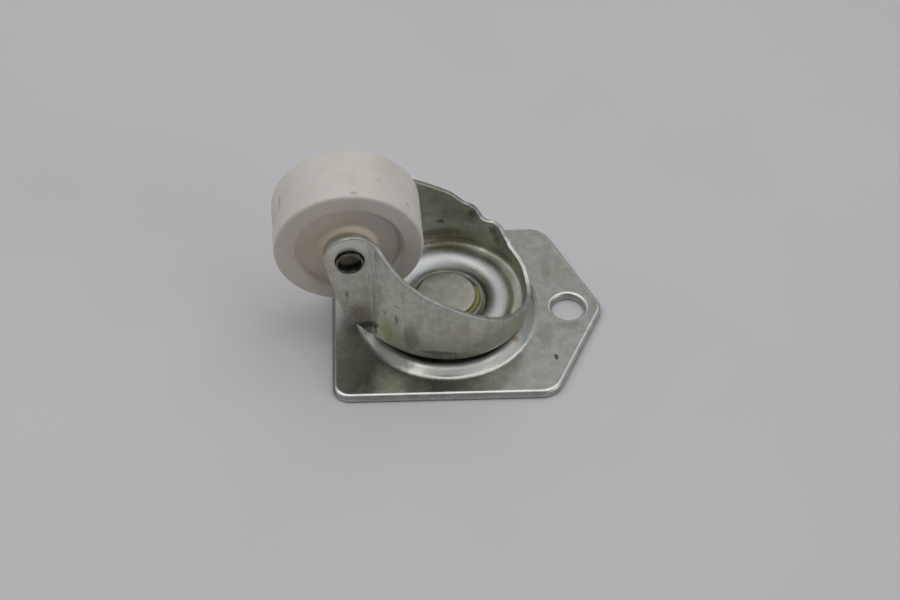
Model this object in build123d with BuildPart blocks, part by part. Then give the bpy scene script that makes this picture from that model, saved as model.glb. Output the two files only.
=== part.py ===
"""Plate-mount swivel castor, resting upside down on its mounting plate.

Millimetres, +Z up. The origin is on the swivel axis, on the plate's mounting face.
+X points to the plate's tip and its fixing hole. The fork is built in its own frame,
with the wheel towards -X, and each of its pieces is then turned by SWIVEL_ANGLE.
"""
import math
import os

from build123d import *

os.makedirs("parts", exist_ok=True)

# ---- swivel ----
SWIVEL_ANGLE = 2.75        # degrees, fork against plate
SHANK_R = 4.0              # king pin shank
SHANK_IN_PLATE = 0.02      # radial clearance of the shank in the plate
SHANK_IN_FORK = 0.08       # radial clearance of the shank in the fork
RUN_GAP = 0.03             # clearance between rolling and sliding faces

# ---- mounting plate ----
PLATE_T = 2.0
PLATE_HALF_W = 23.6
PLATE_REAR = 24.6          # swivel axis to the straight rear edge
PLATE_SHOULDER = 22.35     # swivel axis to where the tip's sloping edges start
TIP_ANGLE = 63.9           # sloping edges against the X axis, degrees
REAR_CORNER_R = 3.6
SHOULDER_R = 5.0
TIP_R = 3.6
PLATE_EDGE_R = 0.8         # press-rounded upper edge
PLATE_BURR_R = 0.25        # lower edge
FIXING_FROM_TIP = 7.6      # fixing hole's centre from where the sloping edges meet
FIXING_R = 3.6
FIXING_LIP_R = 0.7
DOME_LAND = 6.0            # from the balls' pitch circle to the edge of the dome's top
DOME_SLOPE = 1.8           # width of the dome's sloping side
DOME_H = 1.5               # dome's flat top above the plate
DOME_BLEND = 0.8

# ---- king pin and washer ----
HEAD_R = 6.3
HEAD_T = 1.35
HEAD_DISH = 0.12
TAIL_R = 6.2
TAIL_T = 1.2
WASHER_T = 0.8
WASHER_RIM_T = 1.0
WASHER_RIM_H = 1.35        # rim's top above the fork's inner floor
GREASE_GAP = 0.75          # between the head and the washer's rim

# ---- ball race ----
BALL_R = 2.0
BALL_COUNT = 16
TRACK_GAP = 0.3            # track radius over ball radius
TRACK_SINK = 1.26          # how deep the plate's track is pressed into the dome's top
RIB_CLEAR = 0.25           # from the washer's edge to the foot of the fork's rib
RIB_T = 1.0                # sheet thinned over the raceway rib
RIB_FILLET = 0.7
RACE_LEDGE = 0.1           # flat floor left beside the rib

# ---- wheel and axle ----
AXLE_X = -20.7
AXLE_RISE = 25.26          # axle above the cup's underside
WHEEL_R = 15.3
WHEEL_HALF_W = 6.75
TREAD_EDGE_R = 0.7
RIM_WALL = 4.0             # from the tread in to the recess
RECESS_DRAFT = 0.55
RECESS_DEPTH = 1.05
HUB_END_R = 5.5
HUB_DRAFT = 0.5
HUB_PROUD = 0.25           # hub's end beyond the wheel's face
HUB_GAP = 0.86             # hub's end to the ear's dimple
AXLE_R = 2.5
AXLE_WALL = 0.4
BORE_CLEAR = 0.08
AXLE_IN_EAR = 0.03
DIMPLE_CLEAR = 0.15        # countersink's mouth around the axle's lip
DIMPLE_WALL = 0.9          # dimple's back beyond its mouth
DIMPLE_DEPTH = 1.0
LIP_FLARE = 0.35
LIP_PROUD = 1.0

# ---- fork ----
SHEET = 1.1
CUP_LIFT = 1.2             # cup's underside above the dome's top
CUP_X = 0.5                # centre of the round front
CUP_EDGE_R = 2.5           # outside bend between floor and wall
CUP_LEDGE = 0.1            # flat floor left inside that bend
SIDE_FLATTEN = 4.1         # how much larger the side arcs' radius is than the front's
EAR_BEND_R = 3.2           # bend between side wall and ear
EAR_R = 6.25               # round end of an ear
EAR_AHEAD = 0.9            # centre of the round end ahead of the axle
EAR_ABOVE = 0.29           # and above it
EAR_BACK_ANGLE = 13.0      # ear's rear edge against vertical, degrees
LOW_CORNER_BACK = 0.9      # ear's lower rear corner behind the axle
LOW_CORNER_H = 5.7         # and above the cup's underside
FLOOR_LIP = 0.2            # floor's straight rear edge behind the race
RIM_FRONT_H = 3.1          # lowest point of the rim above the cup's underside
HUB_FLOOR_DROP = 0.8       # inner floor below the outer floor
PUCKER_R = 1.7             # width of a pucker in the wall at its upper end
PUCKER_BULGE = 1.1         # how far a pucker stands out of the wall

# Rim along the two legs: distance ahead of the swivel axis and height above the
# cup's underside. The first points leave the round ear, from the ear's centre.
EAR_SHOULDER = [(3.4, 4.95), (5.3, 3.15)]
NEAR_RIM = [
    (-10.8, 23.7),
    (-7.0, 20.8),
    (1.0, 16.2),
    (7.0, 11.9),
    (10.4, 9.3),
    (14.3, 6.7),
    (17.2, 4.2),
]
FAR_RIM = [
    (-10.8, 23.9),
    (-6.1, 21.4),
    (-0.9, 17.7),
    (2.6, 15.5),
    (5.1, 13.2),
    (6.85, 12.7),
    (8.4, 9.95),
    (10.6, 9.7),
    (12.9, 6.8),
    (15.2, 5.6),
    (16.9, 4.3),
]
# Steps of the lower edge, from the ear's lower rear corner forwards.
LOW_STEPS = [(4.4, -3.3), (2.2, -0.5)]
# Puckers that the press left in the far wall: direction, lower and upper end.
PUCKERS = [(67.0, 4.2, 12.9), (50.0, 3.1, 9.9), (38.0, 2.7, 8.2)]

# ---- sizes that follow ----
TRACK_R = BALL_R + TRACK_GAP
WASHER_R = HEAD_R + GREASE_GAP + WASHER_RIM_T
PITCH_R = WASHER_R + RIB_CLEAR + RIB_T + TRACK_R
RACE_FOOT_R = PITCH_R + TRACK_R + RIB_T + RACE_LEDGE
CUP_FRONT_R = RACE_FOOT_R + CUP_LEDGE + CUP_EDGE_R
CUP_SIDE_R = CUP_FRONT_R + SIDE_FLATTEN
DOME_TOP_R = PITCH_R + DOME_LAND
DOME_R = DOME_TOP_R + DOME_SLOPE
DOME_TOP = PLATE_T + DOME_H
DOME_UNDER = DOME_H
BALL_Z = DOME_TOP - TRACK_SINK + RUN_GAP + BALL_R
RACE_TOP = BALL_Z + BALL_R + RUN_GAP
CUP_UNDER = DOME_TOP + CUP_LIFT
CUP_FLOOR = CUP_UNDER + SHEET
INNER_FLOOR = CUP_FLOOR - HUB_FLOOR_DROP
PIN_SEAT = INNER_FLOOR + WASHER_T
AXLE_Z = CUP_UNDER + AXLE_RISE
HUB_HALF_W = WHEEL_HALF_W + HUB_PROUD
EAR_Y = HUB_HALF_W + HUB_GAP + DIMPLE_DEPTH + SHEET
EAR_X = AXLE_X + EAR_AHEAD
EAR_Z = AXLE_Z + EAR_ABOVE
LOW_CORNER = (AXLE_X - LOW_CORNER_BACK, CUP_UNDER + LOW_CORNER_H)
FLOOR_REAR = -RACE_FOOT_R - FLOOR_LIP
EAR_END = EAR_X - EAR_R - 4
TALL = EAR_Z + EAR_R + 2 - CUP_UNDER
LIP_R = AXLE_R + LIP_FLARE
DIMPLE_R = LIP_R + DIMPLE_CLEAR


def turned(shape):
    """Turn a piece of the fork from its own frame into the part's frame."""
    return shape.rotate(Axis.Z, SWIVEL_ANGLE)


def save(part, name):
    """Label a finished piece and write its STEP file."""
    part.label = name
    export_step(part, f"parts/{name}.step")


# ---------------------------------------------------------------- mounting plate
tip_x = PLATE_SHOULDER + PLATE_HALF_W / math.tan(math.radians(TIP_ANGLE))
fixing_x = tip_x - FIXING_FROM_TIP
track_z = DOME_TOP - TRACK_SINK + TRACK_R
track_half = math.sqrt(TRACK_R**2 - (track_z - DOME_TOP) ** 2)
under_r = TRACK_R + PLATE_T
under_half = math.sqrt(under_r**2 - (track_z - DOME_UNDER) ** 2)

with BuildPart() as mounting_plate:
    with BuildSketch() as plate_plan:
        with BuildLine():
            Polyline(
                (-PLATE_REAR, -PLATE_HALF_W),
                (PLATE_SHOULDER, -PLATE_HALF_W),
                (tip_x, 0),
                (PLATE_SHOULDER, PLATE_HALF_W),
                (-PLATE_REAR, PLATE_HALF_W),
                close=True,
            )
        make_face()
        fillet(plate_plan.vertices().sort_by(Axis.X)[:2], REAR_CORNER_R)
        fillet(plate_plan.vertices().sort_by(Axis.X)[-1:], TIP_R)
        shoulders = [v for v in plate_plan.vertices() if abs(v.X - PLATE_SHOULDER) < 0.01]
        fillet(shoulders, SHOULDER_R)
    extrude(amount=PLATE_T)
    fillet(mounting_plate.edges().group_by(Axis.Z)[-1], PLATE_EDGE_R)
    fillet(mounting_plate.edges().group_by(Axis.Z)[0], PLATE_BURR_R)
    with BuildSketch(Plane.XZ):
        with BuildLine():
            Polyline(
                (0, PLATE_T - 0.5),
                (DOME_R + 0.4, PLATE_T - 0.5),
                (DOME_R + 0.4, PLATE_T),
                (DOME_R, PLATE_T),
                (DOME_TOP_R, DOME_TOP),
                (PITCH_R + track_half, DOME_TOP),
            )
            RadiusArc(
                (PITCH_R + track_half, DOME_TOP),
                (PITCH_R - track_half, DOME_TOP),
                TRACK_R,
            )
            Polyline(
                (PITCH_R - track_half, DOME_TOP),
                (0, DOME_TOP),
                (0, PLATE_T - 0.5),
            )
        dome = make_face()
        foot = [v for v in dome.vertices() if abs(v.X - DOME_R) < 0.01]
        fillet(foot + [v for v in dome.vertices() if abs(v.X - DOME_TOP_R) < 0.01], DOME_BLEND)
    revolve(axis=Axis.Z)
    with BuildSketch(Plane.XZ):
        with BuildLine():
            Polyline(
                (PITCH_R + under_half, DOME_UNDER),
                (DOME_TOP_R - SHEET, DOME_UNDER),
                (DOME_R - SHEET, 0),
                (DOME_R - SHEET, -1),
                (0, -1),
                (0, DOME_UNDER),
                (PITCH_R - under_half, DOME_UNDER),
            )
            RadiusArc(
                (PITCH_R - under_half, DOME_UNDER),
                (PITCH_R + under_half, DOME_UNDER),
                -under_r,
            )
        make_face()
    revolve(axis=Axis.Z, mode=Mode.SUBTRACT)
    with Locations((0, 0, DOME_TOP / 2)):
        Cylinder(SHANK_R + SHANK_IN_PLATE, DOME_TOP + 2, mode=Mode.SUBTRACT)
    with Locations((fixing_x, 0, PLATE_T / 2)):
        Cylinder(FIXING_R, PLATE_T + 2, mode=Mode.SUBTRACT)
    lip = mounting_plate.edges().filter_by(GeomType.CIRCLE)
    lip = [e for e in lip if abs(e.arc_center.X - fixing_x) < 0.01 and e.arc_center.Z > 1]
    fillet(lip, FIXING_LIP_R)

save(mounting_plate.part, "mounting_plate")


# -------------------------------------------------------------------------- fork
def cup_outline(inset, rear):
    """Half the plan of cup and ears, moved in from the outer faces by inset."""
    front_r = CUP_FRONT_R - inset
    side_r = CUP_SIDE_R - inset
    drop = CUP_SIDE_R - CUP_FRONT_R
    ear_y = EAR_Y - inset
    corner_x = CUP_X - math.sqrt(side_r**2 - (ear_y + drop) ** 2)
    sweep = math.degrees(math.atan2(ear_y + drop, corner_x - CUP_X)) - 90
    with BuildLine() as half:
        CenterArc((CUP_X, 0), front_r, 0, 90)
        CenterArc((CUP_X, -drop), side_r, 90, sweep)
        Polyline((corner_x, ear_y), (rear, ear_y), (rear, 0), (CUP_X + front_r, 0))
    return half.edges()


def bend_points(sketch, inset):
    """Vertices where the side walls meet the ears."""
    found = sketch.vertices()
    return [v for v in found if abs(abs(v.Y) - EAR_Y + inset) < 0.01 and v.X > EAR_END / 1.5]


def side_profile(rim):
    """One leg seen from the side: round ear, rim, then the lower and rear edges."""
    back = math.radians(EAR_BACK_ANGLE)
    back_top = (EAR_X - EAR_R * math.cos(back), EAR_Z - EAR_R * math.sin(back))
    crest = (EAR_X, EAR_Z + EAR_R)
    front = CUP_X + CUP_FRONT_R + 0.2
    edge_points = [(EAR_X + x, EAR_Z + z) for x, z in EAR_SHOULDER]
    edge_points += [(x, CUP_UNDER + height) for x, height in rim]
    edge_points += [(front, CUP_UNDER + RIM_FRONT_H)]
    with BuildLine() as edge:
        RadiusArc(back_top, crest, EAR_R)
        Spline(crest, *edge_points, tangents=((1, 0), (0.35, -1)))
        Polyline(
            edge_points[-1],
            (front + 2, CUP_UNDER + RIM_FRONT_H),
            (front + 2, CUP_UNDER - 1),
            (FLOOR_REAR, CUP_UNDER - 1),
            (FLOOR_REAR, CUP_FLOOR + 0.6),
            *[(LOW_CORNER[0] + x, LOW_CORNER[1] + z) for x, z in LOW_STEPS],
            LOW_CORNER,
            back_top,
        )
    return edge.edges()


def low_corner(sketch):
    """Vertices at the ear's lower rear corner."""
    return [v for v in sketch.vertices() if abs(v.X - LOW_CORNER[0]) < 0.01]


with BuildPart() as leg_shape:
    with BuildSketch(Plane.XZ) as near_side:
        make_face(side_profile(NEAR_RIM))
        fillet(low_corner(near_side), 0.8)
    extrude(amount=CUP_FRONT_R + 3)
    with BuildSketch(Plane.XZ) as far_side:
        make_face(side_profile(FAR_RIM))
        fillet(low_corner(far_side), 0.8)
    extrude(amount=-CUP_FRONT_R - 3)

rib_z = RACE_TOP - TRACK_R
rib_r = TRACK_R + RIB_T
rib_in = math.sqrt(rib_r**2 - (INNER_FLOOR - rib_z) ** 2)
rib_out = math.sqrt(rib_r**2 - (CUP_FLOOR - rib_z) ** 2)
race_in = math.sqrt(TRACK_R**2 - (INNER_FLOOR - SHEET - rib_z) ** 2)
race_out = math.sqrt(TRACK_R**2 - (CUP_UNDER - rib_z) ** 2)
ear_axis = Axis((AXLE_X, 0, AXLE_Z), (0, 1, 0))
ear_inner = EAR_Y - SHEET

with BuildPart() as fork:
    with BuildSketch(Plane.XY.offset(CUP_UNDER)) as plan:
        make_face(cup_outline(0, EAR_END))
        mirror(about=Plane.XZ)
        fillet(bend_points(plan, 0), EAR_BEND_R)
    extrude(amount=TALL)
    lower = fork.edges().group_by(Axis.Z)[0]
    fillet([e for e in lower if e.center().X > EAR_END + 1], CUP_EDGE_R)
    for angle, low, high in PUCKERS:
        reach = CUP_FRONT_R - PUCKER_R + PUCKER_BULGE
        turn = math.radians(angle)
        middle = CUP_UNDER + (low + high) / 2
        with Locations((CUP_X + reach * math.cos(turn), reach * math.sin(turn), middle)):
            Cone(0.1, PUCKER_R, high - low)
    with BuildSketch(Plane.XY.offset(CUP_FLOOR)) as room:
        make_face(cup_outline(SHEET, EAR_END - 2))
        mirror(about=Plane.XZ)
        fillet(bend_points(room, SHEET), EAR_BEND_R + SHEET)
    extrude(amount=TALL, mode=Mode.SUBTRACT)
    corner = [e for e in fork.edges() if abs(e.center().Z - CUP_FLOOR) < 0.001]
    corner = [e for e in corner if e.center().X > EAR_END + 1]
    fillet(corner, CUP_EDGE_R - SHEET)
    for angle, low, high in PUCKERS:
        reach = CUP_FRONT_R - PUCKER_R + PUCKER_BULGE - SHEET
        turn = math.radians(angle)
        middle = CUP_UNDER + (low + high) / 2
        with Locations((CUP_X + reach * math.cos(turn), reach * math.sin(turn), middle)):
            Cone(0.1, PUCKER_R, high - low, mode=Mode.SUBTRACT)
    add(leg_shape.part, mode=Mode.INTERSECT)
    # raceway pressed into the floor
    with Locations((0, 0, CUP_UNDER)):
        Cylinder(RACE_FOOT_R, 6, mode=Mode.SUBTRACT)
    with BuildSketch(Plane.XZ) as race:
        hole_r = SHANK_R + SHANK_IN_FORK
        with BuildLine():
            Line((hole_r, INNER_FLOOR), (PITCH_R - rib_in, INNER_FLOOR))
            RadiusArc((PITCH_R - rib_in, INNER_FLOOR), (PITCH_R + rib_out, CUP_FLOOR), rib_r)
            Polyline(
                (PITCH_R + rib_out, CUP_FLOOR),
                (RACE_FOOT_R, CUP_FLOOR),
                (RACE_FOOT_R, CUP_UNDER),
                (PITCH_R + race_out, CUP_UNDER),
            )
            RadiusArc(
                (PITCH_R + race_out, CUP_UNDER),
                (PITCH_R - race_in, INNER_FLOOR - SHEET),
                -TRACK_R,
            )
            Polyline(
                (PITCH_R - race_in, INNER_FLOOR - SHEET),
                (hole_r, INNER_FLOOR - SHEET),
                (hole_r, INNER_FLOOR),
            )
        make_face()
        feet = [v for v in race.vertices() if abs(v.X - PITCH_R + rib_in) < 0.01]
        feet += [v for v in race.vertices() if abs(v.X - PITCH_R - rib_out) < 0.01]
        fillet(feet, RIB_FILLET)
        lips = [v for v in race.vertices() if abs(v.X - PITCH_R - race_out) < 0.01]
        lips += [v for v in race.vertices() if abs(v.X - PITCH_R + race_in) < 0.01]
        fillet(lips, RIB_FILLET / 2)
    revolve(axis=Axis.Z)
    # countersunk dimples that seat the axle's ends
    with BuildSketch(Plane.XY.offset(AXLE_Z)):
        for side in (-1, 1):
            with BuildLine():
                Polyline(
                    (AXLE_X, side * (ear_inner + 0.3)),
                    (AXLE_X - DIMPLE_R - DIMPLE_WALL, side * (ear_inner + 0.3)),
                    (AXLE_X - DIMPLE_R - DIMPLE_WALL, side * ear_inner),
                    (AXLE_X - DIMPLE_R - DIMPLE_WALL / 2, side * (ear_inner - DIMPLE_DEPTH)),
                    (AXLE_X, side * (ear_inner - DIMPLE_DEPTH)),
                    close=True,
                )
            make_face()
    revolve(axis=ear_axis)
    with BuildSketch(Plane.XY.offset(AXLE_Z)):
        for side in (-1, 1):
            with BuildLine():
                Polyline(
                    (AXLE_X, side * (EAR_Y + 1)),
                    (AXLE_X - DIMPLE_R, side * (EAR_Y + 1)),
                    (AXLE_X - DIMPLE_R, side * (EAR_Y - 0.1)),
                    (AXLE_X - DIMPLE_R + 0.25, side * (EAR_Y - DIMPLE_DEPTH)),
                    (AXLE_X - AXLE_R - AXLE_IN_EAR, side * (EAR_Y - DIMPLE_DEPTH)),
                    (AXLE_X - AXLE_R - AXLE_IN_EAR, side * (ear_inner - DIMPLE_DEPTH - 1)),
                    (AXLE_X, side * (ear_inner - DIMPLE_DEPTH - 1)),
                    close=True,
                )
            make_face()
    revolve(axis=ear_axis, mode=Mode.SUBTRACT)

save(turned(fork.part), "fork")

# ------------------------------------------------------------- king pin and washer
tail_low = DOME_UNDER - TAIL_T
with BuildPart() as king_pin:
    with BuildSketch(Plane.XZ) as pin_half:
        with BuildLine():
            Polyline(
                (0, tail_low),
                (TAIL_R, tail_low),
                (TAIL_R, DOME_UNDER),
                (SHANK_R, DOME_UNDER),
                (SHANK_R, PIN_SEAT),
                (HEAD_R, PIN_SEAT),
                (HEAD_R, PIN_SEAT + HEAD_T),
                (0, PIN_SEAT + HEAD_T + HEAD_DISH),
                (0, tail_low),
            )
        make_face()
        rounded = [v for v in pin_half.vertices() if abs(v.X - HEAD_R) < 0.01]
        fillet(rounded, 0.35)
        fillet([v for v in pin_half.vertices() if abs(v.X - TAIL_R) < 0.01], 0.45)
    revolve(axis=Axis.Z)
save(king_pin.part, "king_pin")

with BuildPart() as cup_washer:
    with BuildSketch(Plane.XZ) as ring_half:
        low = INNER_FLOOR + RUN_GAP
        rim_top = INNER_FLOOR + WASHER_RIM_H
        with BuildLine():
            Polyline(
                (SHANK_R + SHANK_IN_PLATE, low),
                (WASHER_R - 0.7, low),
                (WASHER_R, low + 0.7),
                (WASHER_R, rim_top),
                (WASHER_R - WASHER_RIM_T, rim_top),
                (WASHER_R - WASHER_RIM_T - 0.3, PIN_SEAT),
                (SHANK_R + SHANK_IN_PLATE, PIN_SEAT),
                (SHANK_R + SHANK_IN_PLATE, low),
            )
        make_face()
        fillet([v for v in ring_half.vertices() if abs(v.Y - rim_top) < 0.01], 0.35)
    revolve(axis=Axis.Z)
save(cup_washer.part, "cup_washer")

# -------------------------------------------------------------------------- balls
for number in range(BALL_COUNT):
    with BuildPart() as ball:
        with Locations(Rotation(0, 0, number * 360 / BALL_COUNT) * Location((PITCH_R, 0, BALL_Z))):
            Sphere(BALL_R)
    save(ball.part, f"race_ball_{number + 1:02d}")

# ----------------------------------------------------------------- wheel and axle
web_y = WHEEL_HALF_W - RECESS_DEPTH
bore_r = AXLE_R + BORE_CLEAR
recess_r = WHEEL_R - RIM_WALL
hub_base_r = HUB_END_R + HUB_DRAFT
with BuildPart() as wheel:
    with BuildSketch(Plane.XY) as wheel_half:
        with BuildLine():
            Polyline(
                (bore_r, 0),
                (bore_r, HUB_HALF_W),
                (HUB_END_R, HUB_HALF_W),
                (hub_base_r, web_y),
                (recess_r - RECESS_DRAFT, web_y),
                (recess_r, WHEEL_HALF_W),
                (WHEEL_R, WHEEL_HALF_W),
                (WHEEL_R, 0),
                (bore_r, 0),
            )
        section = make_face()
        fillet([v for v in section.vertices() if v.X > WHEEL_R - 0.01 and v.Y > 1], TREAD_EDGE_R)
        fillet([v for v in wheel_half.vertices() if abs(v.X - HUB_END_R) < 0.01], 0.3)
        fillet([v for v in wheel_half.vertices() if abs(v.X - recess_r) < 0.01], 0.25)
        fillet([v for v in wheel_half.vertices() if abs(v.X - hub_base_r) < 0.01], 0.25)
        mirror(about=Plane.XZ)
    revolve(axis=Axis.Y)
wheel_at = Location((AXLE_X, 0, AXLE_Z))
save(turned(wheel.part.moved(wheel_at)), "wheel")

flare_y = EAR_Y - DIMPLE_DEPTH + RUN_GAP
tube_r = AXLE_R - AXLE_WALL
with BuildPart() as axle:
    with BuildSketch(Plane.XY) as axle_half:
        with BuildLine():
            Polyline(
                (tube_r, 0),
                (AXLE_R, 0),
                (AXLE_R, flare_y),
                (LIP_R, flare_y + 0.3),
                (LIP_R, EAR_Y + LIP_PROUD),
                (tube_r + 0.3, EAR_Y + LIP_PROUD),
                (tube_r, EAR_Y - 0.4),
                (tube_r, 0),
            )
        make_face()
        flare = [v for v in axle_half.vertices() if abs(v.X - LIP_R) < 0.01 and v.Y < EAR_Y]
        fillet(flare, 0.25)
        fillet([v for v in axle_half.vertices() if v.Y > EAR_Y + LIP_PROUD - 0.01], 0.2)
        mirror(about=Plane.XZ)
    revolve(axis=Axis.Y)
save(turned(axle.part.moved(wheel_at)), "axle")
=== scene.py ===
"""Looks of a plate-mount swivel castor that lies on its mounting plate.

Size fields are in millimetres. The scene is in metres, +Z up, with the origin on the swivel
axis at the plate's mounting face and the plate's tip towards +X. The fork and what it
carries are modelled with the wheel towards -X and then turned by the swivel's rest angle.
"""
import logging
import math
from contextlib import contextmanager
from dataclasses import dataclass
from enum import Enum
from typing import Callable, Iterator, Sequence, Union

import bmesh
import bpy
from mathutils import Matrix, Vector


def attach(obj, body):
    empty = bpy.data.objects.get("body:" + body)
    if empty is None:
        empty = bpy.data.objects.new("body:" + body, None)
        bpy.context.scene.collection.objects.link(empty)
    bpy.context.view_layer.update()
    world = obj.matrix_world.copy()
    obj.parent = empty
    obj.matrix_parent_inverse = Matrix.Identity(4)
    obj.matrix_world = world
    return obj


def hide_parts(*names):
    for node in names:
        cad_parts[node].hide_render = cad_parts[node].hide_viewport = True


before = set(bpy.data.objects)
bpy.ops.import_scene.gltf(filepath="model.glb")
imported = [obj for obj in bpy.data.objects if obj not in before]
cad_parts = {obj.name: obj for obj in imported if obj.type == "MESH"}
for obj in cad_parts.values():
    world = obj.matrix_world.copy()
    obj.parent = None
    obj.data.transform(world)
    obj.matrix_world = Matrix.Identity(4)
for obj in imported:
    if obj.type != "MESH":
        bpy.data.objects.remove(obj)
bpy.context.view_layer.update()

log = logging.getLogger("castor")

Pair = tuple[float, float]
Point = tuple[float, float, float]
Colour = tuple[float, float, float, float]
Value = Union[bpy.types.NodeSocket, float]
Paint = Union[bpy.types.NodeSocket, Colour]
Test = Callable[[Vector], bool]
FaceTest = Callable[[Vector, Vector], bool]

MM = 0.001
SWIVEL_TURN = math.radians(2.75)
# Places closer together than this, in millimetres, count as one.
TINY = 0.02
# A face counts as level when this much of its normal is upright.
LEVEL = 0.999
ORIGIN: Point = (0, 0, 0)
UPWARDS: Point = (0, 0, 1)
ACROSS: Point = (0, 1, 0)
# A point on the axle's line, before the fork is turned to its rest angle.
AXLE: Point = (-20.7, 0, 29.96)


class Pick(Enum):
    """What a selection is made of."""

    VERTS = "VERT"
    EDGES = "EDGE"
    FACES = "FACE"


# ------------------------------------------------------------------ working by hand
def linear(code: str) -> Colour:
    """Turn an sRGB hex value into a linear colour.

    Args:
        code: Six hex digits after a hash sign.

    Returns:
        Red, green, blue and alpha, linear, from 0 to 1.
    """
    parts = [int(code[i : i + 2], 16) / 255 for i in (1, 3, 5)]
    red, green, blue = [c / 12.92 if c <= 0.04045 else ((c + 0.055) / 1.055) ** 2.4 for c in parts]
    return red, green, blue, 1.0


def deselect() -> None:
    """Deselect every object."""
    bpy.ops.object.select_all(action="DESELECT")


def activate(*pieces: bpy.types.Object) -> None:
    """Select these objects only, and make the first one active.

    Args:
        pieces: The objects to select.
    """
    deselect()
    for piece in pieces:
        piece.select_set(True)
    bpy.context.view_layer.objects.active = pieces[0]


@contextmanager
def editing(piece: bpy.types.Object, pick: Pick = Pick.VERTS) -> Iterator[None]:
    """Work on one piece in edit mode, with everything in it selected at first.

    Args:
        piece: The mesh object to edit.
        pick: What selections are made of.

    Yields:
        Nothing; object mode comes back afterwards.
    """
    activate(piece)
    bpy.ops.object.mode_set(mode="EDIT")
    bpy.ops.mesh.select_mode(type=pick.value)
    bpy.ops.mesh.select_all(action="SELECT")
    yield
    bpy.ops.object.mode_set(mode="OBJECT")


def corners(part: object) -> list[Vector]:
    """Places of a vertex, or of an edge's or face's corners, in millimetres."""
    return [v.co / MM for v in getattr(part, "verts", [part])]


def at_height(level: float) -> Test:
    """A test for places at one height in millimetres."""
    return lambda p: abs(p.z - level) < TINY


def select_parts(piece: bpy.types.Object, pick: Pick, test: Callable[[object], bool]) -> int:
    """Select, in edit mode, the vertices, edges or faces that pass a test.

    Args:
        piece: The piece in edit mode.
        pick: Which kind of part is selected.
        test: Takes a part and says whether it is in.

    Returns:
        How many were selected.
    """
    bpy.ops.mesh.select_mode(type=pick.value)
    bpy.ops.mesh.select_all(action="DESELECT")
    mesh = bmesh.from_edit_mesh(piece.data)
    group = {Pick.VERTS: mesh.verts, Pick.EDGES: mesh.edges, Pick.FACES: mesh.faces}[pick]
    found = [part for part in group if test(part)]
    for part in found:
        part.select = True
    mesh.select_flush_mode()
    bmesh.update_edit_mesh(piece.data)
    return len(found)


def choose(piece: bpy.types.Object, test: Test, pick: Pick = Pick.VERTS) -> int:
    """Select, in edit mode, what passes a test of place at every corner."""
    return select_parts(piece, pick, lambda part: all(test(p) for p in corners(part)))


def choose_facing(piece: bpy.types.Object, test: FaceTest) -> int:
    """Select faces, in edit mode, by a test of their centre and normal."""
    return select_parts(piece, Pick.FACES, lambda face: test(face.calc_center_median() / MM, face.normal))


def extrude(x: float, y: float, z: float) -> None:
    """Extrude the selection by a step in millimetres."""
    bpy.ops.mesh.extrude_region_move(TRANSFORM_OT_translate={"value": (x * MM, y * MM, z * MM)})


def fill_level(piece: bpy.types.Object, level: float) -> None:
    """Close the open edges that lie at one height with flat faces.

    Args:
        piece: The piece.
        level: The height in millimetres.
    """
    flat = at_height(level)
    with editing(piece, Pick.EDGES):
        select_parts(piece, Pick.EDGES, lambda e: len(e.link_faces) < 2 and all(map(flat, corners(e))))
        bpy.ops.mesh.fill(use_beauty=True)


def draw_line(name: str, points: list[Point]) -> bpy.types.Object:
    """Draw a chain of edges by extruding one vertex from point to point.

    Args:
        name: The new object's name.
        points: The chain's corners in millimetres.

    Returns:
        The new object, at the origin.
    """
    deselect()
    start = Vector(points[0]) * MM
    bpy.ops.mesh.primitive_plane_add(size=MM, location=start)
    piece = bpy.context.object
    piece.name = name
    bpy.ops.object.transform_apply(location=True, rotation=True, scale=True)
    with editing(piece):
        bpy.ops.mesh.merge(type="CENTER")
        for here, there in zip(points, points[1:]):
            step = (Vector(there) - Vector(here)) * MM
            bpy.ops.mesh.extrude_vertices_move(TRANSFORM_OT_translate={"value": step})
    return piece


def round_corners(piece: bpy.types.Object, spots: Sequence[Point], reach: float, cuts: int) -> None:
    """Round corners of a drawn chain.

    Args:
        piece: The chain.
        spots: The corners' places in millimetres.
        reach: How far from the corner the curve starts, in millimetres.
        cuts: How many straight pieces the curve gets.
    """
    places = [Vector(c) for c in spots]
    with editing(piece):
        choose(piece, lambda p: any((p - c).length < TINY for c in places))
        bpy.ops.mesh.bevel(offset=reach * MM, segments=cuts, affect="VERTICES", clamp_overlap=True)


def tidy_shell(piece: bpy.types.Object, outwards: bool = True) -> None:
    """Merge what coincides and turn the faces one way.

    Args:
        piece: The piece to tidy.
        outwards: Whether the normals are made to point outwards.
    """
    with editing(piece):
        bpy.ops.mesh.remove_doubles(threshold=0.002 * MM)
        bpy.ops.mesh.select_all(action="SELECT")
        bpy.ops.mesh.normals_make_consistent(inside=not outwards)


def lathe(
    name: str,
    points: list[Point],
    rounds: Sequence[tuple[Sequence[Point], float, int]],
    steps: int,
    centre: Point = ORIGIN,
    axis: Point = UPWARDS,
) -> bpy.types.Object:
    """Draw a profile, round its corners and turn it into a full body of revolution.

    Args:
        name: The new object's name.
        points: The profile's corners in millimetres; a closed one ends where it starts.
        rounds: For each rounding its corners, its reach in millimetres and its cuts.
        steps: How many stations there are round the body.
        centre: A point on the axis, in millimetres.
        axis: The axis's direction.

    Returns:
        The body.
    """
    piece = draw_line(name, points)
    if points[0] == points[-1]:
        tidy_shell(piece)
    for spots, reach, cuts in rounds:
        round_corners(piece, spots, reach, cuts)
    with editing(piece):
        bpy.ops.mesh.spin(steps=steps, angle=math.tau, center=Vector(centre) * MM, axis=axis)
    tidy_shell(piece)
    return piece


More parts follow.
